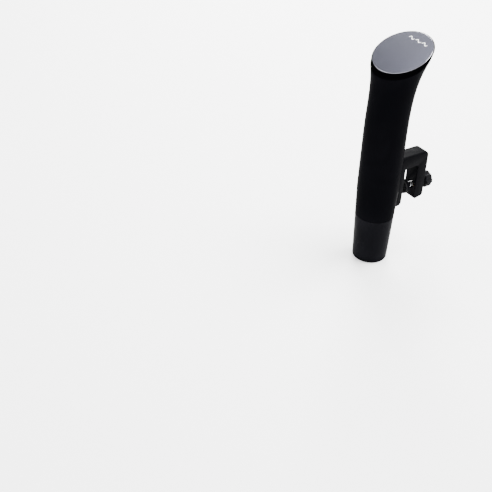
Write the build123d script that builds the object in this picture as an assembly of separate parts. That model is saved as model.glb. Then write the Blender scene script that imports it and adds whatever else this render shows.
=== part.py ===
from build123d import *
import math
import os

os.makedirs("parts", exist_ok=True)

# Immersion circulator, millimetres. The origin is the middle of the flat that sits on a pot's rim.
# +Z is up, -Y is the front, +Y points away from the pot, and X = 0 is the plane of symmetry.
# In the helpers, y is the distance behind the tube's axis.

# ---- driving dimensions ----
axis_y = -49.5            # the tube's axis, in front of the rim seat
tube_r = 29.2             # upper tube, outside
bottom_r = 24.6           # skirt at its lower end, outside
taper_z = -20.0           # the tube narrows below this
seam_z = -64.0            # joint between the upper housing and the skirt
cap_z = -129.0            # joint between the skirt and its bottom cap
bottom_z = -135.0
wall = 2.4
skirt_wall = 1.8

flare_z = 61.0            # the head starts to flare here
panel_back = 12.3         # the head's top is centred this far behind the tube's axis
back_power = 2.2          # how late in the flare the head leans back
flare_power = 3.6         # how late in the flare the head widens
panel_z = 175.6
panel_tilt = 24.65        # degrees, the rear edge is the higher one
band_r = 39.9             # lower edge of the gloss band
head_r = 40.9             # its upper edge
panel_r = 39.3
bezel_share = 0.928       # the bezel's lower edge, as a share of the flare
seat = -2.0               # floor of the panel's recess, under the head's rim
panel_proud = 0.9
board_top = -4.6          # display board, under the head's rim
display_board_r = 31.0
board_v = -4.3            # the board follows the slanted neck towards the front
post_circle_r = 27.5

gland_z = 136.0
gland_y = 27.4            # inner face of the cord gland's flange
gland_long = 14.0
gland_bore_r = 3.1

bridge_top = 20.0
bridge_fall = 2.0         # the bracket's top falls this much towards its outer end
bracket_w = 22.0
jaw_y = 38.0              # slot wall on the tube's side
leg_y = 62.0              # slot wall on the outer leg
outer_y = 79.5
leg_z = -56.0
jaw_z = -58.0
screw_z = -36.0           # axis of the clamp screw
pad_y = 46.0              # face of the foot's pad at rest
knob_y = 83.5             # inner face of the knob at rest
screw_r = 3.95
nut_r = 6.5

shaft_r = 2.0
motor_r = 14.5
motor_top = -14.0
motor_bottom = -58.4
heater_r = 17.6           # circle that the heater's legs stand on
heater_tube_r = 2.9
bulkhead_top = -60.0
bulkhead_bottom = -70.0
impeller_low = -126.0
impeller_high = -118.0
board_y = -9.0            # front face of the power board
board_half = 22.5         # half the width between the rails' slots
board_thick = 1.6
board_high = 114.0
frame_floor = (16.0, 18.5)
rail_high = 118.0
fit = 0.05                # radial clearance of running fits
bracket_screw_z = (9.0, -52.0)
screw_tip = 35.0          # the bracket screws end here, inside the inner leg


# ---- helpers ----
def tubeRadius(z):
    """Outer radius of the tube and the skirt at a height."""
    if z >= taper_z:
        return tube_r
    return tube_r - (tube_r - bottom_r) * (taper_z - z) / (taper_z - bottom_z)


def upright(radius, z_low, z_high, x=0.0, y=0.0):
    shape = Cylinder(radius, z_high - z_low, align=(Align.CENTER, Align.CENTER, Align.MIN))
    return Pos(x, axis_y + y, z_low) * shape


def ring(outer, inner, z_low, z_high, x=0.0, y=0.0):
    return upright(outer, z_low, z_high, x, y) - upright(inner, z_low - 1, z_high + 1, x, y)


def block(x_size, y_size, z_size, x, y, z):
    return Pos(x, axis_y + y, z) * Box(x_size, y_size, z_size)


def alongY(radius, y_low, y_high, z, x=0.0):
    shape = Cylinder(radius, y_high - y_low, align=(Align.CENTER, Align.CENTER, Align.MIN))
    return Pos(x, axis_y + y_low, z) * Rot(-90, 0, 0) * shape


def cone(z_low, z_high, inset):
    """The narrowing tube between two heights, moved in by a wall."""
    low, high = tubeRadius(z_low) - inset, tubeRadius(z_high) - inset
    shape = Cone(low, high, z_high - z_low, align=(Align.CENTER, Align.CENTER, Align.MIN))
    return Pos(0, axis_y, z_low) * shape


def polar(radius, degrees):
    turn = math.radians(degrees)
    return radius * math.cos(turn), radius * math.sin(turn)


def group(shapes):
    return Compound(children=list(shapes))


# ---- the head's plane and sections ----
tilt = math.radians(panel_tilt)


def headPlane(share):
    """Plane of a round section: share 0 is the tube, share 1 the rim of the head's top."""
    turn = tilt * min(share / bezel_share, 1.0)
    middle = (0, axis_y + panel_back * share**back_power, flare_z + (panel_z - flare_z) * share)
    return Plane(origin=middle, x_dir=(1, 0, 0), z_dir=(0, -math.sin(turn), math.cos(turn)))


def headRadius(share):
    if share > bezel_share:
        return band_r + (head_r - band_r) * (share - bezel_share) / (1 - bezel_share)
    return tube_r + (band_r - tube_r) * (share / bezel_share) ** flare_power


def headSection(share, inset):
    return headPlane(share) * Circle(headRadius(share) - inset)


panel_plane = headPlane(1.0)


def panelDisc(radius, low, high, u=0.0, v=0.0):
    """A disc square to the panel, between two heights over the head's rim."""
    shape = Cylinder(radius, high - low, align=(Align.CENTER, Align.CENTER, Align.MIN))
    return panel_plane * Pos(u, v, low) * shape


def panelBlock(u_size, v_size, low, high, u=0.0, v=0.0):
    return panel_plane * Pos(u, v, (low + high) / 2) * Box(u_size, v_size, high - low)


def outerBody(inset):
    """The upper housing's outer surface as a solid, moved in by an inset."""
    loft_z = flare_z - 30.0
    straight = [Pos(0, axis_y, z) * Circle(tube_r - inset) for z in (loft_z, flare_z - 15.0)]
    flared = [headSection(share, inset) for share in (0.0, 0.2, 0.4, 0.6, 0.75, 0.86, bezel_share)]
    return cone(seam_z, taper_z, inset) + upright(tube_r - inset, taper_z, loft_z) + loft(straight + flared)


# ---- head ----
def makeHead(parts):
    rim = loft([headSection(bezel_share, 0), headSection(1.0, 0)])
    opening = loft([headSection(bezel_share, 3.4), headSection(1.0, 4.6)])
    recess = panelDisc(panel_r + 0.15, seat, 5)
    bezel = rim - opening - recess
    parts["head_bezel"] = bezel

    panel = panelDisc(panel_r, seat + 0.6, panel_proud)
    top_edge = panel.edges().filter_by(GeomType.CIRCLE).sort_by(Axis(panel_plane.origin, panel_plane.z_dir))[-1]
    parts["control_panel"] = chamfer(top_edge, 0.7)
    gasket = panelDisc(panel_r - 0.3, seat, seat + 0.6) - panelDisc(36.6, seat - 1, seat + 1)
    parts["panel_gasket"] = gasket

    under = board_top - board_thick
    parts["display_board"] = panelDisc(display_board_r, under, board_top, 0, board_v)
    parts["led_display"] = panelBlock(32, 13, board_top, seat + 0.6, 0, 4)
    parts["touch_springs"] = group(
        panelDisc(3.0, board_top, seat + 0.6, u, -14) - panelDisc(2.0, board_top - 1, seat + 1, u, -14)
        for u in (-15, 0, 15)
    )
    parts["buzzer"] = panelDisc(4.5, under - 4.0, under, -18, -2)
    parts["wireless_module"] = panelBlock(16, 12, under - 2.4, under, 12, 4)
    posts = []
    screws = []
    for angle in (30, 150, 270):
        u, v = polar(post_circle_r, angle)
        v += board_v
        post = panelDisc(2.6, board_top, seat + 0.6, u, v) - panelDisc(1.0, board_top - 1, seat + 0.3, u, v)
        posts.append(post)
        screws.append(panelDisc(2.2, under - 1.4, under, u, v) + panelDisc(0.95, under, seat + 0.1, u, v))
        parts["display_board"] -= panelDisc(1.1, under - 1, board_top + 1, u, v)
    parts["board_standoffs"] = group(posts)
    parts["board_screws"] = group(screws)


# ---- housing, its inner frame and the electronics ----
def makeHousing(parts):
    shell = outerBody(0.0) - outerBody(wall)
    # a shallow step at the seam keeps a shadow line between the two shells
    shell -= ring(tube_r + 2, tubeRadius(seam_z) - 0.5, seam_z - 1, seam_z + 0.7)
    shell -= alongY(4.6, 20.0, 60.0, gland_z)
    for z in bracket_screw_z:
        shell -= alongY(2.1, 15.0, 40.0, z)
    parts["upper_housing"] = shell


def makeElectronics(parts):
    inside = tube_r - wall
    floor_low, floor_high = frame_floor
    board_low = floor_high + 3.0
    board_mid = board_y + board_thick / 2
    plate = upright(inside - 0.02, floor_low, floor_high) - upright(8.0, floor_low - 1, floor_high + 1)
    for side in (-1, 1):
        rail = block(4.0, 7.0, rail_high - floor_high, side * 22.4, board_mid, (rail_high + floor_high) / 2)
        slot = block(3.0, 1.7, rail_high, side * 21.3, board_mid, board_low + rail_high / 2)
        plate += rail - slot
    plate -= block(7.0, 5.0, 10.0, 0, 24.5, floor_high)
    parts["inner_frame"] = plate & outerBody(wall + 0.02)

    parts["power_board"] = block(
        2 * board_half - 0.2, board_thick, board_high - board_low, 0, board_mid, (board_low + board_high) / 2
    )
    back = board_mid + board_thick / 2
    parts["mains_capacitor"] = alongY(7.0, back, back + 18.0, 104.0, 8.0)
    choke = ring(8.0, 3.5, 0, 7.5)
    parts["choke_coil"] = Pos(-9.0, axis_y + back, 99.0) * Rot(-90, 0, 0) * Pos(0, -axis_y, 0) * choke
    parts["transformer"] = block(20.0, 16.0, 18.0, 5.0, back + 8.0, 80.0)
    parts["relay"] = block(15.0, 12.0, 18.0, -12.5, back + 6.0, 78.0)
    triac = block(10.0, 4.4, 14.0, 0, back + 2.2, 54.0)
    parts["triac"] = triac
    sink = block(26.0, 3.0, 30.0, 0, back + 5.9, 50.0)
    for x in (-11, -5.5, 0, 5.5, 11):
        sink += block(1.6, 10.0, 30.0, x, back + 12.3, 50.0)
    parts["heat_sink"] = sink
    ribbon_low, ribbon_high = board_high - 6.0, 158.4
    parts["display_ribbon"] = block(
        10.0, 0.6, ribbon_high - ribbon_low, -14.0, back + 0.3, (ribbon_low + ribbon_high) / 2
    )
    front = board_mid - board_thick / 2
    parts["terminal_block"] = block(20.0, 8.0, 10.0, 0, front - 4.0, 32.0)

    # inlet for the mains cord: a flanged bush in the back of the head
    bush = alongY(4.5, gland_y, gland_y + gland_long, gland_z) + alongY(6.5, gland_y, gland_y + 2.6, gland_z)
    parts["cord_gland"] = bush - alongY(gland_bore_r, gland_y - 1, gland_y + gland_long + 1, gland_z)


# ---- motor and the rotor that turns with it ----
def makeMotor(parts):
    low, high = motor_bottom, motor_top
    bearing_r = 5.5
    can = upright(motor_r, low, high) - upright(motor_r - 1.2, low + 2.0, high - 2.0)
    can -= upright(bearing_r, high - 4.0, high - 0.8) + upright(bearing_r, low + 0.8, low + 4.0)
    can += ring(motor_r - 1.2, bearing_r, high - 5.0, high - 2.0)
    can += ring(motor_r - 1.2, bearing_r, low + 2.0, low + 5.0)
    can -= upright(shaft_r + 0.6, low - 1, high + 1)
    parts["motor_can"] = can
    parts["upper_bearing"] = ring(bearing_r, shaft_r + fit, high - 4.0, high - 0.8)
    parts["lower_bearing"] = ring(bearing_r, shaft_r + fit, low + 0.8, low + 4.0)
    parts["field_magnets"] = ring(motor_r - 1.2, 10.6, low + 7.0, high - 7.0)
    parts["armature"] = ring(10.0, shaft_r, low + 8.0, high - 11.0)
    parts["commutator"] = ring(4.0, shaft_r, high - 10.4, high - 6.0)
    parts["drive_shaft"] = upright(shaft_r, impeller_low + 1.0, high - 0.9)
    brushes = block(4.0, 3.0, 3.0, 6.4, 0, high - 8.2), block(4.0, 3.0, 3.0, -6.4, 0, high - 8.2)
    parts["motor_brushes"] = group(brushes)

    plate = upright(motor_r, bulkhead_top, low) - upright(4.6, bulkhead_top - 1, low + 1)
    screws = []
    for x in (-1, 1):
        ear = block(9.0, 9.0, low - bulkhead_top, 0, x * (motor_r + 4.0), (low + bulkhead_top) / 2)
        plate += ear
        y = x * (motor_r + 4.6)
        plate -= upright(1.6, bulkhead_top - 1, low + 1, 0, y)
        screws.append(upright(2.8, low, low + 1.8, 0, y) + upright(1.45, bulkhead_top - 6.0, low, 0, y))
    parts["motor_mount"] = plate
    parts["motor_screws"] = group(screws)


def makeImpeller(parts):
    hub = ring(5.0, shaft_r, impeller_low, impeller_high)
    disc = ring(13.0, shaft_r, impeller_low, impeller_low + 1.4)
    wheel = hub + disc
    for i in range(6):
        blade = block(9.0, 1.4, impeller_high - impeller_low - 1.4, 8.6, 0, 0)
        blade = Pos(0, 0, (impeller_low + 1.4 + impeller_high) / 2) * blade
        swept = Pos(4.5, 0, 0) * Rot(0, 0, 24) * Pos(-4.5, -axis_y, 0)
        lean = Pos(0, axis_y, 0) * Rot(0, 0, 60.0 * i) * swept
        wheel += lean * blade
    parts["impeller"] = wheel
    parts["impeller_clip"] = ring(3.6, shaft_r, impeller_high + 0.1, impeller_high + 1.0)


# ---- wet end ----
def makeHeater(parts):
    top, upper, lower = bulkhead_top + 0.6, -84.0, -100.0
    legs = [polar(heater_r, angle) for angle in (-150.0, -90.0, -30.0, 30.0)]
    tubes = []
    for i, (x, y) in enumerate(legs):
        high = top if i in (0, 3) else upper
        tubes.append(upright(heater_tube_r, lower, high, x, y))
    bends = ((0, 1, lower, -1), (1, 2, upper, 1), (2, 3, lower, -1))
    for first, second, z, side in bends:
        x0, y0 = legs[first]
        x1, y1 = legs[second]
        middle = ((x0 + x1) / 2, axis_y + (y0 + y1) / 2, z)
        span = math.hypot(x1 - x0, y1 - y0) / 2
        along = ((x1 - x0) / (2 * span), (y1 - y0) / (2 * span), 0)
        section = Plane(origin=middle, x_dir=along, z_dir=(0, 0, 1)) * Pos(span, 0, 0) * Circle(heater_tube_r)
        across = (-along[1], along[0], 0)
        tubes.append(revolve(section, axis=Axis(middle, across), revolution_arc=180.0 * -side))
    body = tubes[0]
    for tube in tubes[1:]:
        body += tube
    parts["heating_element"] = body
    pins = [upright(1.3, top, top + 7.0, *legs[i]) for i in (0, 3)]
    parts["heater_terminals"] = group(pins)


def makeWetEnd(parts):
    outer = tubeRadius(bulkhead_top)
    groove_z = (seam_z + bulkhead_top) / 2 + 0.2
    plug = cone(bulkhead_bottom, seam_z, skirt_wall + 0.05) + cone(seam_z, bulkhead_top, wall + 0.05)
    plug -= ring(outer, outer - wall - 1.5, groove_z - 0.75, groove_z + 0.75)
    plug -= upright(shaft_r + 0.5, bulkhead_bottom - 1, bulkhead_top + 1)
    plug -= upright(5.0, bulkhead_bottom - 1, bulkhead_bottom + 5.0)
    for angle in (-150.0, 30.0):
        plug -= upright(heater_tube_r, bulkhead_bottom - 1, bulkhead_top + 1, *polar(heater_r, angle))
    for x in (-1, 1):
        plug -= upright(1.45, bulkhead_top - 6.2, bulkhead_top + 1, 0, x * (motor_r + 4.6))
    probe_at = polar(17.5, 65.0)
    pins_at = (polar(18.0, 140.0), polar(18.0, 165.0))
    plug -= upright(2.0, bulkhead_bottom - 1, bulkhead_top + 1, *probe_at)
    for x, y in pins_at:
        plug -= upright(1.2, bulkhead_bottom - 1, bulkhead_top + 1, x, y)
    parts["bulkhead"] = plug
    inner = outer - wall - 1.5
    seal_mid = (inner + outer - wall) / 2
    parts["bulkhead_seal"] = Pos(0, axis_y, groove_z) * Torus(seal_mid - 0.05, 0.68)
    parts["shaft_seal"] = ring(5.0, shaft_r + fit, bulkhead_bottom + 0.4, bulkhead_bottom + 5.0)
    parts["temperature_probe"] = upright(2.0, -98.0, bulkhead_top + 1.5, *probe_at)
    parts["level_pins"] = group(
        upright(1.2, low, bulkhead_top + 1.5, x, y) for (x, y), low in zip(pins_at, (-84.0, -96.0))
    )

    skirt = cone(cap_z, seam_z, 0) - cone(cap_z, seam_z, skirt_wall)
    for i in range(7):
        angle = 90 + (i - 3) * 17.0
        cutter = Pos(0, axis_y, -98.0) * Rot(0, 0, angle) * Pos(26, 0, 0) * Box(14, 3.0, 34.0)
        skirt -= cutter
    parts["lower_skirt"] = skirt

    # pump ring: walls the impeller in and leaves its eye open above
    roof = ring(20.0, 8.5, -115.0, -113.4)
    walls = ring(20.0, 18.2, -128.6, -115.0)
    for angle in (0, 90, 180, 270):
        x, y = polar(20.0, angle)
        window = Pos(x, axis_y + y, -123.0) * Rot(0, 0, angle) * Box(8, 12, 8)
        walls -= window
    feet = ring(21.5, 17.2, -128.6, -127.2)
    parts["pump_ring"] = roof + walls + feet

    cap = cone(bottom_z, cap_z, 0)
    low_edge = cap.edges().filter_by(GeomType.CIRCLE).sort_by(Axis.Z)[0]
    cap = fillet(low_edge, 2.2)
    cap += cone(cap_z, cap_z + 3.4, skirt_wall + 0.05) - upright(21.6, cap_z, cap_z + 5)
    cap -= upright(21.6, cap_z - 3.6, cap_z)
    for angle in range(0, 360, 30):
        cutter = Pos(0, axis_y, bottom_z) * Rot(0, 0, angle + 15) * Pos(12.5, 0, 0) * Box(10, 2.6, 12)
        cap -= cutter
    screws = []
    for angle in (30, 150, 270):
        x, y = polar(19.2, angle)
        cap += upright(2.6, cap_z - 4, cap_z + 0.4, x, y)
        cap -= upright(1.25, bottom_z - 1, cap_z + 1, x, y) + upright(2.3, bottom_z - 1, bottom_z + 1.4, x, y)
        parts["pump_ring"] -= upright(1.2, -129, -126, x, y)
        head = upright(2.2, bottom_z + 0.2, bottom_z + 1.4, x, y)
        screws.append(head + upright(1.2, bottom_z + 1.4, -127.2, x, y))
    parts["bottom_cap"] = cap
    parts["cap_screws"] = group(screws)


# ---- clamp ----
def bracketOutline():
    """Side view of the bracket, an upside-down U with a rounded outer corner."""
    top_in, top_out = bridge_top, bridge_top - bridge_fall
    points = ((18.0, top_in), (outer_y, top_out), (outer_y, leg_z), (leg_y, leg_z), (leg_y, 0.0))
    points += ((jaw_y, 0.0), (jaw_y, jaw_z), (18.0, jaw_z))
    face = make_face(Polyline(*points, close=True))
    radii = (((outer_y, top_out), 7.5), ((outer_y, leg_z), 5.0), ((leg_y, leg_z), 3.0),
             ((leg_y, 0.0), 3.5), ((jaw_y, 0.0), 2.5), ((jaw_y, jaw_z), 5.0))
    for (y, z), radius in radii:
        corner = face.vertices().sort_by_distance((y, z, 0))[0]
        face = fillet(corner, radius)
    return face


def makeClamp(parts):
    side = Plane(origin=(-bracket_w / 2, axis_y, 0), x_dir=(0, 1, 0), z_dir=(1, 0, 0))
    bracket = extrude(side * bracketOutline(), amount=bracket_w)
    lips = [edge for edge in bracket.edges() if abs(abs(edge.center().X) - bracket_w / 2) < 0.01]
    outer = [e for e in lips if isOutside(e.center())]
    bracket = fillet(outer, 2.6)
    bracket -= outerBody(0.0)
    bracket -= alongY(nut_r, leg_y - 1, outer_y - 2.4, screw_z) + alongY(screw_r + 0.5, leg_y, 90, screw_z)
    bracket -= block(18.0, 3.4, 26.0, 0, jaw_y + 0.3, screw_z)
    for z in bracket_screw_z:
        bracket -= alongY(1.25, 20.0, screw_tip, z)
    parts["clamp_bracket"] = bracket

    jaw = block(17.8, 3.4, 25.8, 0, jaw_y + 0.3, screw_z)
    for i in range(5):
        jaw -= block(20.0, 0.8, 1.6, 0, jaw_y + 1.8, screw_z + (i - 2) * 5.0)
    parts["jaw_pad"] = jaw

    nut_low = leg_y + 4.6
    nut = alongY(nut_r, nut_low, outer_y - 2.4, screw_z) - alongY(screw_r + fit, 50, 90, screw_z)
    parts["clamp_nut"] = nut

    foot_y = pad_y + 2.5
    boss_end = foot_y + 8.0
    pad = alongY(10.0, pad_y, foot_y, screw_z)
    for i in range(4):
        pad -= block(30.0, 0.8, 1.4, 0, pad_y, screw_z + (i - 1.5) * 4.4)
    parts["foot_pad"] = pad
    foot = alongY(10.5, foot_y, foot_y + 4.0, screw_z) + alongY(5.6, foot_y + 4.0, boss_end, screw_z)
    parts["clamp_foot"] = foot - alongY(3.0 + fit, foot_y + 2.6, boss_end + 1, screw_z)

    knob_end = knob_y + 11.0
    rod = alongY(3.0, foot_y + 2.8, boss_end + 0.4, screw_z)
    rod += alongY(screw_r, boss_end + 0.4, knob_y + 8.0, screw_z)
    parts["clamp_spindle"] = rod
    knob = alongY(12.0, knob_y, knob_end, screw_z)
    rims = knob.edges().filter_by(GeomType.CIRCLE)
    knob = fillet(rims, 1.6)
    for i in range(8):
        x, z = polar(14.6, 45.0 * i + 22.5)
        knob -= alongY(4.2, knob_y - 1, knob_end + 1, screw_z + z, x)
    knob -= alongY(screw_r, knob_y - 1, knob_y + 8.0, screw_z)
    knob -= alongY(7.0, knob_end - 1.2, knob_end + 1, screw_z)
    parts["clamp_knob"] = knob
    parts["knob_cap"] = alongY(6.9, knob_end - 1.2, knob_end + 0.2, screw_z)

    screws = []
    for z in bracket_screw_z:
        inside = tubeRadius(z) - wall
        screws.append(alongY(3.4, inside - 2.2, inside - 0.3, z) + alongY(1.25, inside - 0.3, screw_tip, z))
    parts["bracket_screws"] = group(screws)


def isOutside(point):
    """True on the bracket's outer outline, away from its slot and its tube side."""
    y = point.Y - axis_y
    over_slot = point.Z > 0.5
    return y > 20 and (over_slot or y > leg_y + 3.2)


def main():
    parts = {}
    makeHousing(parts)
    makeHead(parts)
    makeElectronics(parts)
    makeMotor(parts)
    makeImpeller(parts)
    makeHeater(parts)
    makeWetEnd(parts)
    makeClamp(parts)
    for name, shape in parts.items():
        shape.label = name
        export_step(shape, f"parts/{name}.step")
        print(name, round(shape.volume, 1), len(shape.solids()))


main()
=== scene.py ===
import bpy
import math
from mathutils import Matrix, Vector


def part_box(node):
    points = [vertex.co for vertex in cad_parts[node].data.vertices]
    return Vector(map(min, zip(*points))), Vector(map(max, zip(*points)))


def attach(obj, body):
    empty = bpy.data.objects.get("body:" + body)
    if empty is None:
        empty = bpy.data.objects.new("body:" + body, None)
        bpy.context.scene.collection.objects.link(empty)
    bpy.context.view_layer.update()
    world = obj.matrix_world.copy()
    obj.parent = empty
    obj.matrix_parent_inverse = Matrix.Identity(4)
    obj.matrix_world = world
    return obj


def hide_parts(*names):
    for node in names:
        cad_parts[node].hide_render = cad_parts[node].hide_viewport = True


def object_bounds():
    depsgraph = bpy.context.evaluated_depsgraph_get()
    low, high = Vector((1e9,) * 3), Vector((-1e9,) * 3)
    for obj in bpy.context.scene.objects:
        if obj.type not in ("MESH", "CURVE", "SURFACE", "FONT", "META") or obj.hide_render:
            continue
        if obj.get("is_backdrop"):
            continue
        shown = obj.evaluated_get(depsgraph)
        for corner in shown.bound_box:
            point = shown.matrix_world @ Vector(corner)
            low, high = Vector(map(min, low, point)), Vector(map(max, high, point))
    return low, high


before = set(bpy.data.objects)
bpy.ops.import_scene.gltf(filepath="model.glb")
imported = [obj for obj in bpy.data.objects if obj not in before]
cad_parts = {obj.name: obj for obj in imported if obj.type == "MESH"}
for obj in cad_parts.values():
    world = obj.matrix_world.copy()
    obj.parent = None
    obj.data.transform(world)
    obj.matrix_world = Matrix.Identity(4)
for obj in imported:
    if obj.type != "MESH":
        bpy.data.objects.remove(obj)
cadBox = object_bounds()
print("frame loaded")

mm = 0.001


def low(node):
    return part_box(node)[0]


def high(node):
    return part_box(node)[1]


def middle(node):
    return (low(node) + high(node)) / 2


axisY = middle("drive_shaft").y
bottomZ = low("bottom_cap").z
capZ = low("lower_skirt").z
seamZ = high("lower_skirt").z
screwZ = middle("clamp_spindle").z
headR = high("head_bezel").x
panelR = high("control_panel").x

# the outline of the tube and of the flared head
outline = {
    "tubeR": 29.2 * mm, "bottomR": 24.6 * mm, "taperZ": -20 * mm, "flareZ": 61 * mm, "headBack": 12.3 * mm,
    "backPower": 2.2, "flarePower": 3.6, "bandR": 39.9 * mm, "headZ": 175.6 * mm, "tilt": 24.65,
    "bandShare": 0.928, "segments": 144,
}


def behind(y):
    return axisY + y * mm  # y is counted from the tube's axis towards the clamp


def tubeRadius(z):
    if z >= outline["taperZ"]:
        return outline["tubeR"]
    share = (outline["taperZ"] - z) / (outline["taperZ"] - bottomZ)
    return outline["tubeR"] - (outline["tubeR"] - outline["bottomR"]) * share


def tubeRing(z, inset=0.0):
    return Vector((0, axisY, z)), 0.0, tubeRadius(z) - inset * mm


def headRing(share, inset=0.0):
    # share 0 is the straight tube, 1 the rim round the panel
    flare = min(share / outline["bandShare"], 1)
    tilt = math.radians(outline["tilt"]) * flare
    back = axisY + outline["headBack"] * share ** outline["backPower"]
    z = outline["flareZ"] + (outline["headZ"] - outline["flareZ"]) * share
    radius = outline["tubeR"] + (outline["bandR"] - outline["tubeR"]) * flare ** outline["flarePower"]
    if flare == 1:
        radius += (headR - outline["bandR"]) * (share - outline["bandShare"]) / (1 - outline["bandShare"])
    return Vector((0, back, z)), tilt, radius - inset * mm


panelMiddle, panelTilt = headRing(1)[:2]
panelUp = Vector((0, -math.sin(panelTilt), math.cos(panelTilt)))
panelBack = Vector((0, math.cos(panelTilt), math.sin(panelTilt)))


def onPanel(u, v, w):
    return panelMiddle + Vector((u * mm, 0, 0)) + panelBack * v * mm + panelUp * w * mm


def deselectAll():
    if bpy.context.object and bpy.context.object.mode != "OBJECT":
        bpy.ops.object.mode_set(mode="OBJECT")
    bpy.ops.object.select_all(action="DESELECT")


def activate(piece):
    deselectAll()
    piece.select_set(True)
    bpy.context.view_layer.objects.active = piece


def applyPlace(piece):
    activate(piece)
    bpy.ops.object.transform_apply(location=True, rotation=True, scale=True)


def newest(name):
    piece = bpy.context.object
    piece.name = name
    piece.data.name = name
    return piece


def edit(piece, kind="FACE"):
    activate(piece)
    bpy.ops.object.mode_set(mode="EDIT")
    bpy.ops.mesh.select_mode(type=kind)
    bpy.ops.mesh.select_all(action="DESELECT")


def done():
    bpy.ops.object.mode_set(mode="OBJECT")


def pick(piece, test, kind="FACE"):
    # in edit mode, selects the faces, edges or vertices that pass a test
    bpy.ops.object.mode_set(mode="OBJECT")
    mesh = piece.data
    for elements in (mesh.polygons, mesh.edges, mesh.vertices):
        elements.foreach_set("select", [False] * len(elements))
    if kind == "FACE":
        for face in mesh.polygons:
            face.select = bool(test(face.center, face.normal))
    elif kind == "VERT":
        for vert in mesh.vertices:
            vert.select = bool(test(vert.co))
    else:
        for edge in mesh.edges:
            a, b = (mesh.vertices[i].co for i in edge.vertices)
            edge.select = bool(test((a + b) / 2, (b - a).normalized()))
    bpy.ops.object.mode_set(mode="EDIT")
    bpy.ops.mesh.select_mode(type=kind)


def modify(piece, kind, **values):
    activate(piece)
    modifier = piece.modifiers.new(kind.title(), kind)
    for key, value in values.items():
        setattr(modifier, key, value)
    bpy.ops.object.modifier_apply(modifier=modifier.name)


def cutAway(piece, cutter, operation="DIFFERENCE"):
    modify(piece, "BOOLEAN", object=cutter, operation=operation, solver="EXACT")
    bpy.data.objects.remove(cutter)


def cleanUp(piece):
    edit(piece)
    bpy.ops.mesh.select_all(action="SELECT")
    bpy.ops.mesh.remove_doubles(threshold=0.000002)
    bpy.ops.mesh.normals_make_consistent(inside=False)
    done()


def join(first, *others):
    activate(first)
    for other in others:
        other.select_set(True)
    bpy.ops.object.join()
    return first


def turnedCopy(piece, degrees, centre, axis="Z"):
    activate(piece)
    bpy.ops.object.duplicate()
    copy = bpy.context.object
    angle = -math.radians(degrees)
    bpy.ops.transform.rotate(value=angle, orient_axis=axis, center_override=centre)
    applyPlace(copy)
    return copy


def movedCopy(piece, move):
    activate(piece)
    bpy.ops.object.duplicate()
    copy = bpy.context.object
    bpy.ops.transform.translate(value=move)
    applyPlace(copy)
    return copy


def rod(name, radius, start, end, vertices=48):
    # a round bar from one point to another
    start, end = Vector(start), Vector(end)
    deselectAll()
    turn = Vector((0, 0, 1)).rotation_difference(end - start).to_euler()
    place = (start + end) / 2
    bpy.ops.mesh.primitive_cylinder_add(
        vertices=vertices, radius=radius, depth=(end - start).length, location=place, rotation=turn
    )
    piece = newest(name)
    applyPlace(piece)
    return piece


def slab(name, size, centre):
    deselectAll()
    bpy.ops.mesh.primitive_cube_add(size=1, location=centre, scale=size)
    piece = newest(name)
    applyPlace(piece)
    return piece


def ringStack(name, stations, ends="bridge", segments=None):
    # a round loop extruded from station to station; each is a middle, a tilt and a radius
    deselectAll()
    centre, tilt, radius = stations[0]
    count = segments or outline["segments"]
    bpy.ops.mesh.primitive_circle_add(vertices=count, radius=radius, location=centre, rotation=(tilt, 0, 0))
    piece = newest(name)
    applyPlace(piece)
    edit(piece, "VERT")
    bpy.ops.mesh.select_all(action="SELECT")
    for nextCentre, nextTilt, nextRadius in stations[1:]:
        bpy.ops.mesh.extrude_region_move(TRANSFORM_OT_translate={"value": nextCentre - centre})
        if abs(nextTilt - tilt) > 1e-7:
            bpy.ops.transform.rotate(value=tilt - nextTilt, orient_axis="X", center_override=nextCentre)
        scale = nextRadius / radius
        bpy.ops.transform.resize(value=(scale, scale, scale), center_override=nextCentre)
        centre, tilt, radius = nextCentre, nextTilt, nextRadius
    bpy.ops.mesh.select_mode(type="EDGE")
    bpy.ops.mesh.select_all(action="DESELECT")
    bpy.ops.mesh.select_non_manifold(extend=False)
    if ends == "bridge":
        bpy.ops.mesh.bridge_edge_loops()
    elif ends == "flat":
        bpy.ops.mesh.fill_holes(sides=0)
    done()
    cleanUp(piece)
    return piece


def roundCorners(points, closed, steps=4):
    # each point is a radius, a height and the size of its rounded corner
    line = []
    count = len(points)
    for i, (radius, height, corner) in enumerate(points):
        here = Vector((radius, height))
        if corner == 0 or (not closed and i in (0, count - 1)):
            line.append(here)
            continue
        before = (Vector(points[i - 1][:2]) - here).normalized()
        after = (Vector(points[(i + 1) % count][:2]) - here).normalized()
        start = here + before * corner
        end = here + after * corner
        for k in range(steps + 1):
            t = k / steps
            line.append(start * (1 - t) ** 2 + here * 2 * t * (1 - t) + end * t**2)
    return line


def turned(name, base, points, lying=False, ends="bridge", segments=64):
    # lying pieces are turned about +Y, the others about +Z
    along = Vector((0, 1, 0)) if lying else Vector((0, 0, 1))
    tilt = math.radians(-90) if lying else 0.0
    line = roundCorners(points, ends == "bridge")
    stations = [(Vector(base) + along * p.y * mm, tilt, p.x * mm) for p in line]
    return ringStack(name, stations, ends, segments)


def finishPiece(piece, body, nodes=(), materials=(), degrees=35):
    activate(piece)
    bpy.ops.object.shade_smooth_by_angle(angle=math.radians(degrees))
    for i, material in enumerate(materials):
        if i < len(piece.data.materials):
            piece.data.materials[i] = material
        else:
            piece.data.materials.append(material)
    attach(piece, body)
    if nodes:
        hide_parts(*nodes)


# camera, floor and lights
camera = {"place": (0.8079, -0.8359, 0.6704), "turn": (54.227, -1.814, 56.215), "lens": 69.19}
bpy.ops.object.camera_add(location=camera["place"], rotation=[math.radians(a) for a in camera["turn"]])
bpy.context.object.data.lens = camera["lens"]
bpy.context.scene.camera = bpy.context.object

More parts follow.
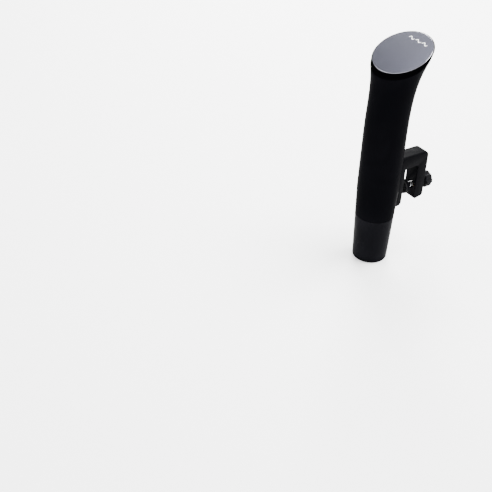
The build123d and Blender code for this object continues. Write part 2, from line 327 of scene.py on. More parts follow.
studio = {
    "floorSize": 12.0, "floorColor": (0.92, 0.92, 0.92), "sky": 2.2,
    "keyPlace": (0.4, 0.9, 2.4), "keySize": 1.6, "keyPower": 260,
    "sidePlace": (-1.35, 0.9, 1.15), "sideSize": 0.9, "sidePower": 110,
    "frontPlace": (-1.5, -1.8, 1.5), "frontSize": 1.4, "frontPower": 30,
    "panelPlace": (-0.14, -0.02, 0.52), "panelSize": 0.12, "panelPower": 1.15,
}


def softLight(name, place, size, power):
    aim = Vector((0, axisY, 0.05)) - Vector(place)
    turn = aim.to_track_quat("-Z", "Y").to_euler()
    bpy.ops.object.light_add(type="AREA", location=place, rotation=turn)
    light = bpy.context.object
    light.name = name
    light.data.size = size
    light.data.energy = power


softLight("keyLight", studio["keyPlace"], studio["keySize"], studio["keyPower"])
softLight("sideLight", studio["sidePlace"], studio["sideSize"], studio["sidePower"])
softLight("frontLight", studio["frontPlace"], studio["frontSize"], studio["frontPower"])
softLight("panelLight", studio["panelPlace"], studio["panelSize"], studio["panelPower"])

sky = bpy.data.worlds.new("studioSky")
sky.use_nodes = True
sky.node_tree.nodes["Background"].inputs["Color"].default_value = (1, 1, 1, 1)
sky.node_tree.nodes["Background"].inputs["Strength"].default_value = studio["sky"]
bpy.context.scene.world = sky

deselectAll()
bpy.ops.mesh.primitive_plane_add(size=studio["floorSize"], location=(0, 0, bottomZ))
floor = newest("floor")
applyPlace(floor)
floor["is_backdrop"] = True
print("camera, lights and floor set")


def add(tree, kind, links=None, **values):
    node = tree.nodes.new("ShaderNode" + kind)
    for key, value in values.items():
        if hasattr(node, key):
            setattr(node, key, value)
        else:
            node.inputs[key.replace("_", " ")].default_value = value
    for key, source in (links or {}).items():
        tree.links.new(source, node.inputs[key])
    return node


def startGroup(name, **values):
    group = bpy.data.node_groups.new(name, "ShaderNodeTree")
    group.interface.new_socket("Vector", in_out="INPUT", socket_type="NodeSocketVector")
    for label, value in values.items():
        kind = "NodeSocketVector" if isinstance(value, tuple) else "NodeSocketFloat"
        group.interface.new_socket(label, in_out="INPUT", socket_type=kind).default_value = value
    return group, group.nodes.new("NodeGroupInput")


def endGroup(group, **results):
    for label in results:
        group.interface.new_socket(label, in_out="OUTPUT", socket_type="NodeSocketFloat")
    out = group.nodes.new("NodeGroupOutput")
    for label, source in results.items():
        group.links.new(source, out.inputs[label])


def multiply(tree, first, second):
    return add(tree, "Math", {0: first, 1: second}, operation="MULTIPLY").outputs[0]


def makeMouldGrain():
    group, given = startGroup("mouldGrain", Size=1.0)
    links = {0: given.outputs["Vector"], 3: given.outputs["Size"]}
    scaled = add(group, "VectorMath", links, operation="SCALE")
    pits = add(group, "TexVoronoi", {"Vector": scaled.outputs[0]}, feature="SMOOTH_F1", Scale=2600.0)
    cloud = add(group, "TexNoise", {"Vector": scaled.outputs[0]}, Scale=900.0, Detail=4.0, Roughness=0.6)
    both = add(group, "Math", {0: pits.outputs["Distance"], 1: cloud.outputs["Fac"]}, operation="ADD")
    endGroup(group, Height=both.outputs[0])
    return group


def makeHandling():
    # broad smudges left by hands, and a fine haze
    group, given = startGroup("handling", Size=1.0)
    links = {0: given.outputs["Vector"], 3: given.outputs["Size"]}
    scaled = add(group, "VectorMath", links, operation="SCALE")
    broad = add(group, "TexNoise", {"Vector": scaled.outputs[0]}, Scale=28.0, Detail=3.0, Distortion=0.8)
    fine = add(group, "TexNoise", {"Vector": scaled.outputs[0]}, Scale=260.0, Detail=6.0, Roughness=0.65)
    smudge = add(group, "MapRange", {"Value": broad.outputs["Fac"]}, From_Min=0.38, From_Max=0.68)
    haze = add(group, "MapRange", {"Value": fine.outputs["Fac"]}, From_Min=0.3, From_Max=0.75)
    endGroup(group, Smudge=smudge.outputs[0], Haze=haze.outputs[0])
    return group


def makeEdgeWear():
    group, given = startGroup("edgeWear", Amount=0.5)
    geometry = add(group, "NewGeometry")
    edge = add(group, "MapRange", {"Value": geometry.outputs["Pointiness"]}, From_Min=0.53, From_Max=0.62)
    noise = add(group, "TexNoise", {"Vector": given.outputs["Vector"]}, Scale=420.0, Detail=5.0)
    rubbed = add(group, "MapRange", {"Value": noise.outputs["Fac"]}, From_Min=0.4, From_Max=0.7)
    worn = multiply(group, edge.outputs[0], rubbed.outputs[0])
    endGroup(group, Worn=multiply(group, worn, given.outputs["Amount"]))
    return group


def makeToolLines():
    # fine lines along one direction, stretched by the Stretch input
    group, given = startGroup("toolLines", Stretch=(20.0, 1500.0, 1500.0))
    links = {0: given.outputs["Vector"], 1: given.outputs["Stretch"]}
    stretched = add(group, "VectorMath", links, operation="MULTIPLY")
    lines = add(group, "TexNoise", {"Vector": stretched.outputs[0]}, Scale=1.0, Detail=5.0, Roughness=0.7)
    endGroup(group, Lines=lines.outputs["Fac"])
    return group


def makeWaterMarks():
    # rims of dried drops, here and there
    group, given = startGroup("waterMarks", Size=1.0)
    links = {0: given.outputs["Vector"], 3: given.outputs["Size"]}
    scaled = add(group, "VectorMath", links, operation="SCALE")
    drops = add(group, "TexVoronoi", {"Vector": scaled.outputs[0]}, Scale=150.0)
    outer = add(group, "MapRange", {"Value": drops.outputs["Distance"]}, From_Min=0.36, From_Max=0.31)
    inner = add(group, "MapRange", {"Value": drops.outputs["Distance"]}, From_Min=0.24, From_Max=0.3)
    patches = add(group, "TexNoise", {"Vector": scaled.outputs[0]}, Scale=34.0, Detail=2.0)
    few = add(group, "MapRange", {"Value": patches.outputs["Fac"]}, From_Min=0.52, From_Max=0.66)
    rim = multiply(group, outer.outputs[0], inner.outputs[0])
    endGroup(group, Dried=multiply(group, rim, few.outputs[0]))
    return group


effects = {
    "mouldGrain": makeMouldGrain(), "handling": makeHandling(), "edgeWear": makeEdgeWear(),
    "toolLines": makeToolLines(), "waterMarks": makeWaterMarks(),
}
print("shader groups made")


def effect(tree, name, vector, **values):
    node = tree.nodes.new("ShaderNodeGroup")
    node.node_tree = effects[name]
    tree.links.new(vector, node.inputs["Vector"])
    for key, value in values.items():
        node.inputs[key].default_value = value
    return node


def mixColor(tree, share, first, second):
    node = add(tree, "Mix", {0: share}, data_type="RGBA")
    for socket, value in ((6, first), (7, second)):
        if isinstance(value, tuple):
            node.inputs[socket].default_value = (*value, 1)
        else:
            tree.links.new(value, node.inputs[socket])
    return node.outputs[2]


def startMaterial(name, **values):
    material = bpy.data.materials.new(name)
    material.use_nodes = True
    shader = material.node_tree.nodes["Principled BSDF"]
    for key, value in values.items():
        shader.inputs[key.replace("_", " ")].default_value = value
    return material, material.node_tree, shader, add(material.node_tree, "TexCoord").outputs["Object"]


def setRoughness(tree, shader, source, roughness):
    spread = add(tree, "MapRange", {"Value": source}, To_Min=roughness[0], To_Max=roughness[1])
    tree.links.new(spread.outputs[0], shader.inputs["Roughness"])


def setBump(tree, shader, height, strength, depth):
    node = add(tree, "Bump", {"Height": height}, Strength=strength, Distance=depth * mm)
    tree.links.new(node.outputs["Normal"], shader.inputs["Normal"])


finish = {
    "smudge": 1.3, "worn": 2.2, "wornAdd": 0.01, "dried": (0.12, 0.12, 0.12), "plasticBump": 0.4,
    "line": 0.86, "metalSmudge": 0.93, "scale": (0.62, 0.61, 0.58), "metalBump": 0.3,
}


def plastic(name, color, roughness, specular=0.3, worn=0.4, depth=0.03, grain=1.0, wet=0.0, **values):
    material, tree, shader, vector = startMaterial(name, Specular_IOR_Level=specular, **values)
    hands = effect(tree, "handling", vector)
    tint = mixColor(tree, hands.outputs["Smudge"], color, tuple(c * finish["smudge"] for c in color))
    edges = effect(tree, "edgeWear", vector, Amount=worn)
    wornColor = tuple(c * finish["worn"] + finish["wornAdd"] for c in color)
    tint = mixColor(tree, edges.outputs["Worn"], tint, wornColor)
    if wet:
        marks = effect(tree, "waterMarks", vector)
        share = add(tree, "Math", {0: marks.outputs["Dried"]}, operation="MULTIPLY")
        share.inputs[1].default_value = wet
        tint = mixColor(tree, share.outputs[0], tint, finish["dried"])
    tree.links.new(tint, shader.inputs["Base Color"])
    both = add(tree, "Math", {0: hands.outputs["Smudge"], 1: hands.outputs["Haze"]}, operation="ADD")
    both.use_clamp = True
    setRoughness(tree, shader, both.outputs[0], roughness)
    surface = effect(tree, "mouldGrain", vector, Size=grain)
    setBump(tree, shader, surface.outputs["Height"], finish["plasticBump"], depth)
    return material


def metal(name, color, roughness, stretch=(20.0, 1500.0, 1500.0), depth=0.006, metallic=1.0, wet=0.0):
    material, tree, shader, vector = startMaterial(name, Metallic=metallic)
    lines = effect(tree, "toolLines", vector, Stretch=stretch)
    hands = effect(tree, "handling", vector)
    tint = mixColor(tree, lines.outputs["Lines"], tuple(c * finish["line"] for c in color), color)
    smudged = tuple(c * finish["metalSmudge"] for c in color)
    tint = mixColor(tree, hands.outputs["Smudge"], tint, smudged)
    if wet:
        marks = effect(tree, "waterMarks", vector)
        tint = mixColor(tree, marks.outputs["Dried"], tint, finish["scale"])
    tree.links.new(tint, shader.inputs["Base Color"])
    setRoughness(tree, shader, multiply(tree, lines.outputs["Lines"], hands.outputs["Haze"]), roughness)
    setBump(tree, shader, lines.outputs["Lines"], finish["metalBump"], depth)
    return material


# low IOR keeps the blacks deep where a white room is seen at a flat angle
housingBlack = plastic("housingBlack", (0.0012, 0.0012, 0.0016), (0.34, 0.46), 0.02, 0.25, 0.012, IOR=1.1)
skirtColor = (0.0024, 0.0024, 0.0031)
skirtBlack = plastic("skirtBlack", skirtColor, (0.3, 0.42), 0.06, 0.3, 0.012, wet=0.05, IOR=1.12)
glossBlack = plastic("glossBlack", (0.0004, 0.0004, 0.0005), (0.06, 0.12), 0.01, 0.1, 0.002, IOR=1.05)
clampBlack = plastic("clampBlack", (0.0014, 0.0014, 0.0018), (0.34, 0.46), 0.05, 0.5, 0.03, 0.8, IOR=1.14)
knobBlack = plastic("knobBlack", (0.0036, 0.0036, 0.0042), (0.36, 0.5), 0.1, 0.15, 0.03, 0.8, IOR=1.15)
padRubber = plastic("padRubber", (0.006, 0.006, 0.0065), (0.62, 0.78), 0.12, 0.5, 0.06, 0.6, IOR=1.15)
sealRubber = plastic("sealRubber", (0.02, 0.02, 0.02), (0.6, 0.75), 0.2, 0.2)
panelSatin = metal("panelSatin", (0.0238, 0.0248, 0.0365), (0.24, 0.3), (40.0, 2200.0, 2200.0), 0.0004, 0.85)
panelEdge = metal("panelEdge", (0.2, 0.2, 0.22), (0.16, 0.26), depth=0.002)
inkWhite = plastic("inkWhite", (0.86, 0.86, 0.86), (0.5, 0.62), worn=0.0, depth=0.004)
boardGreen = plastic("boardGreen", (0.03, 0.16, 0.07), (0.28, 0.4), specular=0.5, worn=0.3, Coat_Weight=0.4)
displayLens = plastic("displayLens", (0.03, 0.005, 0.005), (0.08, 0.16), specular=0.5, worn=0.1, depth=0.004)
partBlack = plastic("partBlack", (0.03, 0.03, 0.03), (0.5, 0.64), worn=0.3)
partBlue = plastic("partBlue", (0.04, 0.1, 0.35), (0.18, 0.3), specular=0.5, worn=0.2, depth=0.01)
tapeYellow = plastic("tapeYellow", (0.65, 0.45, 0.08), (0.25, 0.4), specular=0.5, worn=0.1, depth=0.01)
terminalGreen = plastic("terminalGreen", (0.05, 0.35, 0.12), (0.42, 0.56), worn=0.3)
frameGrey = plastic("frameGrey", (0.18, 0.18, 0.19), (0.46, 0.6), worn=0.2)
ribbonWhite = plastic("ribbonWhite", (0.6, 0.6, 0.58), (0.42, 0.55), worn=0.0, depth=0.01)
wetPlastic = plastic("wetPlastic", (0.025, 0.025, 0.028), (0.38, 0.52), worn=0.3, wet=0.8)
impellerWhite = plastic("impellerWhite", (0.62, 0.62, 0.6), (0.36, 0.5), worn=0.1, wet=0.5)
shieldTin = metal("shieldTin", (0.6, 0.6, 0.6), (0.24, 0.38))
copperWire = metal("copperWire", (0.72, 0.33, 0.15), (0.24, 0.36), (1500.0, 1500.0, 2600.0), 0.03)
turnedSteel = metal("turnedSteel", (0.58, 0.58, 0.59), (0.2, 0.34), (1500.0, 20.0, 1500.0))
screwSteel = metal("screwSteel", (0.3, 0.3, 0.31), (0.3, 0.46))
heaterSteel = metal("heaterSteel", (0.34, 0.33, 0.31), (0.34, 0.5), (400.0, 400.0, 60.0), 0.002, wet=0.4)
sinkAluminium = metal("sinkAluminium", (0.7, 0.7, 0.71), (0.34, 0.48), (1500.0, 1500.0, 20.0))
nutBrass = metal("nutBrass", (0.72, 0.52, 0.22), (0.22, 0.36), (1500.0, 20.0, 1500.0))
magnetGrey = metal("magnetGrey", (0.16, 0.16, 0.17), (0.5, 0.62), metallic=0.6)

keptNodes = {
    sealRubber: ("panel_gasket", "bulkhead_seal", "shaft_seal"),
    boardGreen: ("display_board", "power_board"),
    displayLens: ("led_display",),
    partBlack: ("buzzer", "relay", "triac", "motor_brushes"),
    partBlue: ("mains_capacitor",),
    tapeYellow: ("transformer",),
    terminalGreen: ("terminal_block",),
    frameGrey: ("inner_frame", "board_standoffs"),
    ribbonWhite: ("display_ribbon",),
    wetPlastic: ("bulkhead", "pump_ring"),
    impellerWhite: ("impeller",),
    shieldTin: ("wireless_module",),
    copperWire: ("choke_coil", "armature", "commutator"),
    turnedSteel: (
        "touch_springs", "motor_can", "upper_bearing", "lower_bearing", "motor_mount", "drive_shaft",
    ),
    screwSteel: ("board_screws", "motor_screws", "bracket_screws", "impeller_clip"),
    heaterSteel: ("heating_element", "temperature_probe", "level_pins"),
    sinkAluminium: ("heat_sink",),
    nutBrass: ("clamp_nut", "heater_terminals"),
    magnetGrey: ("field_magnets",),
}
for material, names in keptNodes.items():
    for name in names:
        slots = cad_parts[name].data.materials
        for i in range(len(slots)):
            slots[i] = material
print("materials made")

floorPaint, tree, shader, vector = startMaterial("floorPaint", Specular_IOR_Level=0.2)
cloud = add(tree, "TexNoise", {"Vector": vector}, Scale=3.0, Detail=3.0)
shade = studio["floorColor"]
tint = mixColor(tree, cloud.outputs["Fac"], shade, tuple(c * 0.99 for c in shade))
tree.links.new(tint, shader.inputs["Base Color"])
setRoughness(tree, shader, cloud.outputs["Fac"], (0.7, 0.8))
floor.data.materials.append(floorPaint)

# housing: the straight tube and its flare, one moulded shell
housing = {
    "wall": 2.4, "stepIn": 0.5, "stepHigh": 0.7, "stepSlope": 0.05, "lowRing": -42, "highRing": 20,
    "flareRings": 20, "bandGap": 0.004, "lip": 0.3, "inletR": 4.6, "inletZ": 136, "screwR": 2.1,
    "screwZ": (9.0, -52.0),
}
stepTop = seamZ + housing["stepHigh"] * mm
stations = [tubeRing(seamZ, housing["stepIn"]), tubeRing(stepTop, housing["stepIn"])]
stations += [tubeRing(stepTop + housing["stepSlope"] * mm), tubeRing(housing["lowRing"] * mm)]
stations += [tubeRing(outline["taperZ"]), tubeRing(housing["highRing"] * mm)]
share = outline["bandShare"]
stations += [headRing(share * i / housing["flareRings"]) for i in range(housing["flareRings"])]
stations += [headRing(share - housing["bandGap"]), headRing(share, housing["lip"])]
housingShell = ringStack("housingShell", stations, ends="open")
modify(housingShell, "SOLIDIFY", thickness=housing["wall"] * mm, offset=-1, use_even_offset=True)
inletZ = housing["inletZ"] * mm
inlet = rod("inletHole", housing["inletR"] * mm, (0, behind(20), inletZ), (0, behind(60), inletZ))
cutAway(housingShell, inlet)
for z in housing["screwZ"]:
    hole = rod("screwHole", housing["screwR"] * mm, (0, behind(15), z * mm), (0, behind(40), z * mm), 24)
    cutAway(housingShell, hole)
finishPiece(housingShell, "root", ["upper_housing"], [housingBlack])
print("housing shell made")

# the gloss band under the panel, with a seat for it
band = {
    "lip": 0.3, "rim": 0.35, "rimStart": 0.4, "seatR": 39.45, "seatDeep": 2.0, "mouthR": 35.8,
    "lowerInset": 3.4, "lowShares": (0.004, 0.04), "topShares": (0.996, 0.999),
}
stations = [headRing(share, band["lip"])]
stations += [headRing(share + rise) for rise in band["lowShares"]]
nearTop, atTop = band["topShares"]
stations += [headRing(nearTop), headRing(atTop, band["rim"] * band["rimStart"])]
stations += [(panelMiddle, panelTilt, headR - band["rim"] * mm)]
stations += [(panelMiddle, panelTilt, band["seatR"] * mm)]
seat = onPanel(0, 0, -band["seatDeep"])
stations += [(seat, panelTilt, band["seatR"] * mm), (seat, panelTilt, band["mouthR"] * mm)]
stations += [headRing(share, band["lowerInset"])]
glossBand = ringStack("glossBand", stations)
finishPiece(glossBand, "root", ["head_bezel"], [glossBlack])
print("gloss band made")

# the slanted top panel, its bevelled rim and three printed waves
panel = {
    "under": -1.4, "top": 0.9, "bevel": 0.4, "waveWide": 9.0, "waveGap": 3.0, "waveHigh": 1.8,
    "stroke": 0.8, "ink": 0.04, "lift": 0.01, "markU": 1.9, "markV": 25.0, "steps": 20, "segments": 192,
    "edgeSlopes": (0.1, 0.97),
}
topPlace = onPanel(0, 0, panel["top"])
touchPanel = rod("touchPanel", panelR, onPanel(0, 0, panel["under"]), topPlace, panel["segments"])
edit(touchPanel)
pick(touchPanel, lambda c, n: (c - topPlace).dot(panelUp) > -0.1 * mm and n.dot(panelUp) > 0.9)
bpy.ops.mesh.bevel(offset=panel["bevel"] * mm, segments=2, affect="EDGES")
done()
for material in (panelSatin, panelEdge, inkWhite):
    touchPanel.data.materials.append(material)
steep, flat = panel["edgeSlopes"]
for face in touchPanel.data.polygons:
    face.material_index = 1 if steep < face.normal.dot(panelUp) < flat else 0


def makeWave(left):
    deselectAll()
    start = onPanel(left, panel["markV"], panel["top"] + panel["lift"])
    bpy.ops.mesh.primitive_plane_add(size=1, location=start, rotation=(panelTilt, 0, 0))
    wave = newest("wave")
    step = panel["waveWide"] / panel["steps"]
    wave.scale = (step * mm, panel["stroke"] * mm, 1)
    applyPlace(wave)
    edit(wave, "EDGE")
    right = start.x + step * mm * 0.45
    pick(wave, lambda c, d: c.x > right, "EDGE")
    heights = [math.sin(2 * math.pi * i / panel["steps"]) for i in range(panel["steps"] + 1)]
    for i in range(panel["steps"]):
        rise = heights[i + 1] - heights[i]
        move = Vector((step * mm, 0, 0)) + panelBack * rise * panel["waveHigh"] * mm
        bpy.ops.mesh.extrude_region_move(TRANSFORM_OT_translate={"value": move})
    bpy.ops.mesh.select_all(action="SELECT")
    bpy.ops.mesh.extrude_region_move(TRANSFORM_OT_translate={"value": panelUp * panel["ink"] * mm})
    done()
    cleanUp(wave)
    wave.data.materials.append(inkWhite)
    return wave


pace = panel["waveWide"] + panel["waveGap"]
firstWave = makeWave(panel["markU"] - 1.5 * panel["waveWide"] - panel["waveGap"])
waves = [firstWave] + [movedCopy(firstWave, (pace * k * mm, 0, 0)) for k in (1, 2)]
join(touchPanel, *waves)
finishPiece(touchPanel, "root", ["control_panel"], [panelSatin, panelEdge, inkWhite], 20)
print("panel made")

# the skirt that hangs in the water, slotted at the rear
skirt = {
    "wall": 1.8, "edge": 0.3, "slots": 7, "slotTurn": 17, "slotWide": 3.0, "slotDeep": 14, "slotHigh": 34,
    "slotY": 26, "slotZ": -98, "slotRound": 0.48,
}
topEdge, lowEdge = seamZ - skirt["edge"] * mm, capZ + skirt["edge"] * mm
slotZ = skirt["slotZ"] * mm
stations = [tubeRing(capZ, skirt["edge"]), tubeRing(lowEdge), tubeRing(slotZ), tubeRing(topEdge)]
stations += [tubeRing(seamZ, skirt["edge"])]
stations += [tubeRing(z, skirt["wall"]) for z in (seamZ, slotZ, capZ)]
waterSkirt = ringStack("waterSkirt", stations)
tubeAxis = Vector((0, axisY, 0))
slotSize = (skirt["slotWide"] * mm, skirt["slotDeep"] * mm, skirt["slotHigh"] * mm)
slot = slab("slot", slotSize, (0, behind(skirt["slotY"]), slotZ))
edit(slot, "EDGE")
pick(slot, lambda c, d: abs(d.y) > 0.9, "EDGE")
bpy.ops.mesh.bevel(offset=skirt["slotWide"] * skirt["slotRound"] * mm, segments=6, affect="EDGES")
done()
turns = [(i - skirt["slots"] // 2) * skirt["slotTurn"] for i in range(skirt["slots"])]
others = [turnedCopy(slot, turn, tubeAxis) for turn in turns if turn]
cutAway(waterSkirt, join(slot, *others))
finishPiece(waterSkirt, "root", ["lower_skirt"], [skirtBlack])
print("skirt made")

# bottom cap with its grille and three screws
cap = {
    "flangeHigh": 3.4, "flangeGap": 0.06, "wellR": 21.6, "floor": 2.4, "round": 2.2, "middleR": 4,
    "screwAt": 19.2, "screwTurns": (30, 150, 270), "bossR": 2.6, "boreR": 1.25, "seatR": 2.3, "seatDeep": 1.4,
    "slots": 12, "slotSize": (10, 2.6, 12), "slotAt": 12.5, "slotRound": 1.2,
}
capHigh = (capZ - bottomZ) / mm
topR = tubeRadius(capZ) / mm
flangeR = topR - skirt["wall"] - cap["flangeGap"]
flangeTop = capHigh + cap["flangeHigh"]
points = [(cap["middleR"], cap["floor"], 0), (cap["wellR"], cap["floor"], 0), (cap["wellR"], flangeTop, 0)]
points += [(flangeR, flangeTop, 0.5), (flangeR, capHigh, 0), (topR, capHigh, 0.3)]
points += [(tubeRadius(bottomZ) / mm, 0, cap["round"]), (cap["middleR"], 0, 0)]
bottomCap = turned("bottomCap", (0, axisY, bottomZ), points, ends="flat", segments=144)
bosses = [(math.cos(math.radians(a)), math.sin(math.radians(a))) for a in cap["screwTurns"]]
screwPlaces = [Vector((x * cap["screwAt"] * mm, axisY + y * cap["screwAt"] * mm, 0)) for x, y in bosses]
up = Vector((0, 0, 1))
seatR, seatDeep, boreR = cap["seatR"], cap["seatDeep"], cap["boreR"]
borePoints = [(0.2, -1, 0), (seatR, -1, 0), (seatR, seatDeep, 0), (boreR, seatDeep, 0)]
borePoints += [(boreR, capHigh + 1, 0), (0.2, capHigh + 1, 0)]
for at in screwPlaces:
    boss = rod("boss", cap["bossR"] * mm, at + up * (bottomZ + 1 * mm), at + up * (capZ + 0.4 * mm), 32)
    cutAway(bottomCap, boss, "UNION")
    cutAway(bottomCap, turned("bore", at + up * bottomZ, borePoints, ends="flat", segments=32))
grilleSize = tuple(length * mm for length in cap["slotSize"])
grille = slab("grille", grilleSize, (cap["slotAt"] * mm, axisY, bottomZ))
edit(grille, "EDGE")
pick(grille, lambda c, d: abs(d.z) > 0.9, "EDGE")
bpy.ops.mesh.bevel(offset=cap["slotRound"] * mm, segments=5, affect="EDGES")
done()
slotTurn = 360 / cap["slots"]
spokes = [turnedCopy(grille, slotTurn * (k + 0.5), tubeAxis) for k in range(cap["slots"])]
bpy.data.objects.remove(grille)
cutAway(bottomCap, join(*spokes))
cleanUp(bottomCap)
finishPiece(bottomCap, "root", ["bottom_cap"], [skirtBlack])

capFixing = {"headR": 2.2, "faceR": 1.9, "sunk": 0.2, "shankR": 1.2, "tip": 7.6, "cross": (2.4, 0.55, 1.4)}
fixingHeadR, shankR, sunk = capFixing["headR"], capFixing["shankR"], capFixing["sunk"]
screwPoints = [(0.3, sunk, 0), (capFixing["faceR"], sunk, 0.2), (fixingHeadR, 0.6, 0.2)]
screwPoints += [(fixingHeadR, seatDeep, 0), (shankR, seatDeep, 0), (shankR, capFixing["tip"], 0.2)]
screwPoints += [(0.4, capFixing["tip"] + 0.2, 0)]
crossSize = tuple(length * mm for length in capFixing["cross"])
capScrew = turned("capScrew", screwPlaces[0] + up * bottomZ, screwPoints, ends="flat", segments=32)
for turn in (0, 90):
    cross = slab("cross", crossSize, screwPlaces[0] + up * (bottomZ + sunk * mm))
    crossed = turnedCopy(cross, turn, screwPlaces[0])
    bpy.data.objects.remove(cross)
    cutAway(capScrew, crossed)
copies = [movedCopy(capScrew, at - screwPlaces[0]) for at in screwPlaces[1:]]
for k, screw in enumerate([capScrew] + copies):
    screw.name = f"capScrew{k + 1}"
    finishPiece(screw, "root", ["cap_screws"], [screwSteel])
print("bottom cap and screws made")

# the clamp bracket: a bridge with two legs, cut to the tube
bracket = {
    "wide": 22, "start": 18, "jaw": 38, "leg": 62, "outer": 79.5, "top": 20, "fall": 2, "jawZ": -58,
    "legZ": -56, "lip": 2.6, "smallEdge": 0.4, "tubeGap": 0.02, "nutR": 6.5, "nutEnds": (61, 77.1),
    "boreR": 4.45, "boreEnds": (60, 90), "padSeat": (18, 3.4, 26), "padAt": 38.3,
    "corners": {(79.5, 18): 7.5, (79.5, -56): 5, (62, -56): 3, (62, 0): 3.5, (38, 0): 2.5, (38, -58): 5},
}
long = bracket["outer"] - bracket["start"]
size = (bracket["wide"] * mm, long * mm, bracket["top"] * mm)
clampBracket = slab("clampBracket", size, (0, behind(bracket["start"] + long / 2), bracket["top"] * mm / 2))
edit(clampBracket, "VERT")
pick(clampBracket, lambda c: c.z > (bracket["top"] - 1) * mm and c.y > behind(79), "VERT")
bpy.ops.transform.translate(value=(0, 0, -bracket["fall"] * mm))
for y in (bracket["jaw"], bracket["leg"]):
    bpy.ops.mesh.select_all(action="SELECT")
    bpy.ops.mesh.bisect(plane_co=(0, behind(y), 0), plane_no=(0, 1, 0))
pick(clampBracket, lambda c, n: n.z < -0.9 and c.y < behind(bracket["jaw"]))
bpy.ops.mesh.extrude_region_move(TRANSFORM_OT_translate={"value": (0, 0, bracket["jawZ"] * mm)})
pick(clampBracket, lambda c, n: n.z < -0.9 and c.y > behind(bracket["leg"]) and c.z > -mm)
bpy.ops.mesh.extrude_region_move(TRANSFORM_OT_translate={"value": (0, 0, bracket["legZ"] * mm)})
bpy.ops.mesh.select_all(action="SELECT")
bpy.ops.mesh.dissolve_limited(angle_limit=math.radians(1))
for (y, z), radius in bracket["corners"].items():
    corner = Vector((0, behind(y), z * mm))
    pick(clampBracket, lambda c, d: abs(d.x) > 0.9 and (c - corner).length < 0.5 * mm, "EDGE")
    bpy.ops.mesh.bevel(offset=radius * mm, segments=8, affect="EDGES")


def isLip(centre, direction):
    if abs(abs(centre.x) - bracket["wide"] / 2 * mm) > 0.01 * mm or abs(direction.x) > 0.1:
        return False
    return centre.y > behind(20) and (centre.z > 0.5 * mm or centre.y > behind(bracket["leg"] + 3.2))


pick(clampBracket, isLip, "EDGE")
bpy.ops.mesh.bevel(offset=bracket["lip"] * mm, segments=5, affect="EDGES")
done()
cleanUp(clampBracket)
stations = [tubeRing(z * mm, -bracket["tubeGap"]) for z in (-70, -20, 30)]
cutAway(clampBracket, ringStack("tubeCut", stations, ends="flat"))
screwAxis = Vector((0, axisY, screwZ))
back = Vector((0, mm, 0))
nutEnds = [screwAxis + back * y for y in bracket["nutEnds"]]
boreEnds = [screwAxis + back * y for y in bracket["boreEnds"]]
padSize = tuple(length * mm for length in bracket["padSeat"])
padPlace = screwAxis + back * bracket["padAt"]
cutAway(clampBracket, rod("nutSeat", bracket["nutR"] * mm, *nutEnds, 64))
cutAway(clampBracket, rod("screwBore", bracket["boreR"] * mm, *boreEnds, 48))
cutAway(clampBracket, slab("padSeat", padSize, padPlace))
edgeWidth = bracket["smallEdge"] * mm
modify(clampBracket, "BEVEL", width=edgeWidth, segments=2, limit_method="ANGLE", angle_limit=0.9)
finishPiece(clampBracket, "root", ["clamp_bracket"], [clampBlack])
print("bracket made")

# rubber pads with grip grooves
pads = {
    "jawSize": (17.8, 3.4, 25.8), "round": 0.35, "grooveR": 0.8, "grooves": 5, "pitch": 5.0, "grooveY": 40.2,
    "grooveHalf": 12, "footY": 46, "footGrooves": 4, "footPitch": 4.4, "footGrooveY": 0.2,
    "footGrooveHalf": 14,
}
jawPad = slab("jawPad", tuple(length * mm for length in pads["jawSize"]), padPlace)
modify(jawPad, "BEVEL", width=pads["round"] * mm, segments=3)
for i in range(pads["grooves"]):
    z = (i - (pads["grooves"] - 1) / 2) * pads["pitch"] * mm
    at = screwAxis + back * pads["grooveY"] + up * z
    side = Vector((pads["grooveHalf"] * mm, 0, 0))
    cutAway(jawPad, rod("groove", pads["grooveR"] * mm, at - side, at + side, 24))
finishPiece(jawPad, "root", ["jaw_pad"], [padRubber])

footBase = screwAxis + back * pads["footY"]
padPoints = [(3, 0, 0), (10, 0, 0.5), (10, 2.5, 0), (3, 2.5, 0)]
footPad = turned("footPad", footBase, padPoints, lying=True, ends="flat")
for i in range(pads["footGrooves"]):
    z = (i - (pads["footGrooves"] - 1) / 2) * pads["footPitch"] * mm
    at = footBase - back * pads["footGrooveY"] + up * z
    side = Vector((pads["footGrooveHalf"] * mm, 0, 0))
    cutAway(footPad, rod("groove", pads["grooveR"] * mm, at - side, at + side, 24))
finishPiece(footPad, "foot", ["foot_pad"], [padRubber])

footPoints = [(3, 2.5, 0), (10.5, 2.5, 0.4), (10.5, 6.5, 1.0), (5.6, 6.5, 0.8), (5.6, 10.5, 0.5)]
footPoints += [(3.05, 10.5, 0.2), (3.05, 5.1, 0), (1.0, 5.1, 0)]
clampFoot = turned("clampFoot", footBase, footPoints, lying=True, ends="flat")
finishPiece(clampFoot, "foot", ["clamp_foot"], [clampBlack])
print("pads and foot made")

# screw spindle with a trapezoid thread, and its knob
spindle = {
    "pitch": 2.5, "turns": 10, "crestR": 3.94, "rootR": 3.2, "sunk": 0.1, "toothWide": 1.7, "crestShare": 0.4,
    "threadStart": 58.0, "steps": 32,
}
rodPoints = [(1, 51.3, 0), (3, 51.3, 0.4), (3, 56.9, 0), (3.3, 57.2, 0), (3.3, 83.4, 0), (3.9, 83.8, 0)]
rodPoints += [(3.9, 91.5, 0.2), (1, 91.5, 0)]
clampSpindle = turned("clampSpindle", screwAxis, rodPoints, lying=True, ends="flat", segments=48)
deselectAll()
bpy.ops.mesh.primitive_plane_add(size=1, rotation=(0, math.radians(90), 0))
thread = newest("thread")
toothHigh = spindle["crestR"] - spindle["rootR"] + spindle["sunk"]
thread.scale = (toothHigh * mm, spindle["toothWide"] * mm, 1)
bpy.ops.object.transform_apply(location=True, rotation=True, scale=True)
edit(thread, "VERT")
bpy.ops.mesh.select_all(action="SELECT")
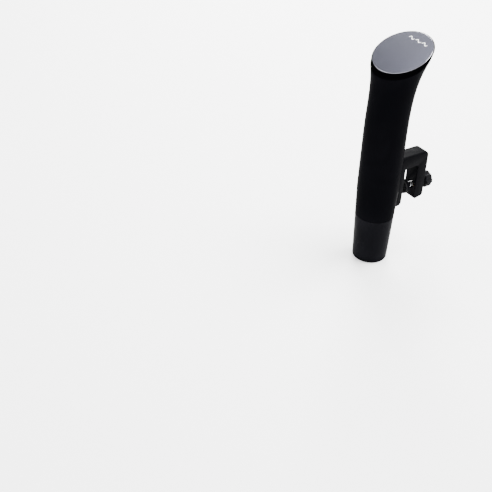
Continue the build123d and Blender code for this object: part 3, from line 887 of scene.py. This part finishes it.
bpy.ops.transform.translate(value=(0, 0, (spindle["crestR"] - toothHigh / 2) * mm))
crestZ = (spindle["crestR"] - 0.05) * mm
pick(thread, lambda c: c.z > crestZ, "VERT")
bpy.ops.transform.resize(value=(1, spindle["crestShare"], 1), center_override=(0, 0, crestZ))
bpy.ops.mesh.select_all(action="SELECT")
bpy.ops.mesh.delete(type="ONLY_FACE")
done()
steps = spindle["steps"]
threadTurn = {"axis": "Y", "screw_offset": spindle["pitch"] * mm, "iterations": spindle["turns"]}
modify(thread, "SCREW", steps=steps, render_steps=steps, use_merge_vertices=False, **threadTurn)
edit(thread, "EDGE")
bpy.ops.mesh.select_non_manifold(extend=False)
bpy.ops.mesh.fill_holes(sides=0)
done()
cleanUp(thread)
thread.location = screwAxis + back * spindle["threadStart"]
applyPlace(thread)
join(clampSpindle, thread)
finishPiece(clampSpindle, "screw", ["clamp_spindle"], [turnedSteel])

knob = {
    "radius": 12, "long": 11, "start": 83.5, "round": 1.6, "boreR": 3.95, "hollowR": 7, "hollowFloor": 9.8,
    "lobes": 8, "scallopR": 4.2, "scallopAt": 14.6,
}
knobPoints = [(knob["boreR"], 0, 0), (knob["radius"], 0, knob["round"])]
knobPoints += [(knob["radius"], knob["long"], knob["round"]), (knob["hollowR"], knob["long"], 0.3)]
knobPoints += [(knob["hollowR"], knob["hollowFloor"], 0), (knob["boreR"], knob["hollowFloor"], 0)]
clampKnob = turned("clampKnob", screwAxis + back * knob["start"], knobPoints, lying=True, segments=96)
at = screwAxis + Vector((knob["scallopAt"] * mm, 0, 0))
ends = at + back * (knob["start"] - 1), at + back * (knob["start"] + knob["long"] + 1)
scallop = rod("scallop", knob["scallopR"] * mm, *ends, 48)
lobeTurn = 360 / knob["lobes"]
scallops = [turnedCopy(scallop, lobeTurn * (k + 0.5), screwAxis, "Y") for k in range(knob["lobes"])]
bpy.data.objects.remove(scallop)
cutAway(clampKnob, join(*scallops))
cleanUp(clampKnob)
finishPiece(clampKnob, "screw", ["clamp_knob"], [knobBlack])

capBase = screwAxis + back * (knob["start"] + knob["long"] - 1.2)
knobCapPoints = [(1, 0, 0), (6.9, 0, 0), (6.9, 1.25, 0.4), (1, 1.4, 0)]
knobCap = turned("knobCap", capBase, knobCapPoints, lying=True, ends="flat")
finishPiece(knobCap, "screw", ["knob_cap"], [knobBlack])
print("spindle and knob made")

# bush for the mains lead, high at the rear
bushPoints = [(3.1, 0, 0.2), (6.5, 0, 0.3), (6.5, 2.6, 0.2), (4.5, 2.6, 0), (4.5, 12.4, 0), (4.1, 12.8, 0)]
bushPoints += [(4.5, 13.2, 0), (4.5, 14, 0.4), (3.1, 14, 0.4)]
bushBase = Vector((0, low("cord_gland").y, inletZ))
leadBush = turned("leadBush", bushBase, bushPoints, lying=True, segments=48)
finishPiece(leadBush, "root", ["cord_gland"], [padRubber])
print("lead bush made")

size = {"cad": [list(c) for c in cadBox], "visual": [list(c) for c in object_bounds()]}
